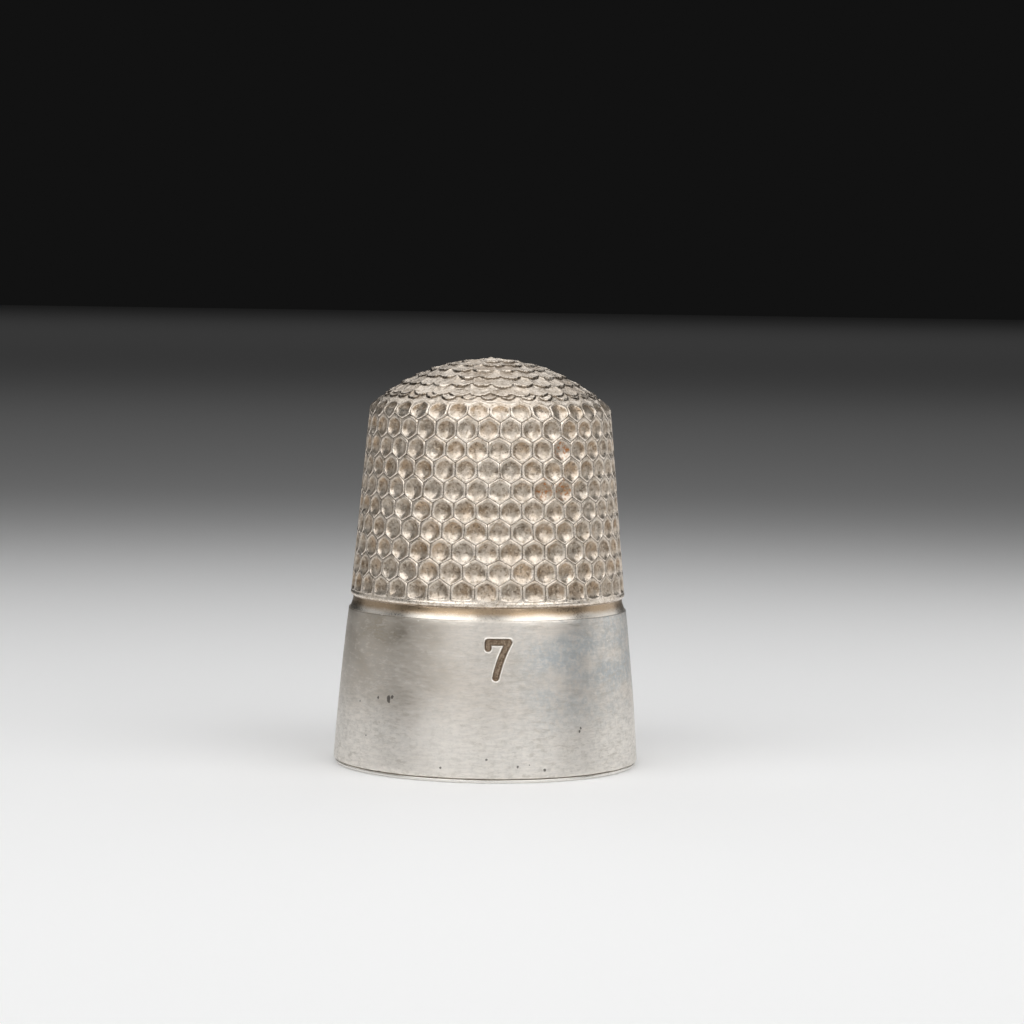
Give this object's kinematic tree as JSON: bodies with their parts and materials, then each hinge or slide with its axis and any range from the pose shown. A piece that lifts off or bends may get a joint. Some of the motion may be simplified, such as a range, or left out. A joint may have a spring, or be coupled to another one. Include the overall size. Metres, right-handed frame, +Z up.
{
  "type": "thimble",
  "caption": "Sewing thimble with a dented crown and side, a plain flared band with a stamped size numeral, a steel core and a smooth lining.",
  "frame": {"origin": "centre of the open rim's plane, which the thimble stands on", "axes": "+Z up the thimble's axis towards the crown; the stamped numeral faces -Y"},
  "size_m": [0.0178, 0.0178, 0.0237],
  "materials": {
    "dented_silver": "worn sterling silver with a dented surface, warm grey tarnish in the dents and bright rubbed ridges",
    "satin_silver": "satin sterling silver with fine lines round the band, handling scratches and small pits",
    "silver_solder": "silver solder, duller and a little browner than the sheet",
    "core_steel": "plain drawn mild steel",
    "lining_silver": "smooth drawn sterling silver, lightly tarnished"
  },
  "bodies": {
    "root": {"crown_cap": "dented_silver", "crown_solder": "silver_solder", "side_wall": "dented_silver", "band": "satin_silver", "band_solder": "silver_solder", "rim_solder": "silver_solder", "steel_core": "core_steel", "inner_lining": "lining_silver"}
  },
  "joints": []
}
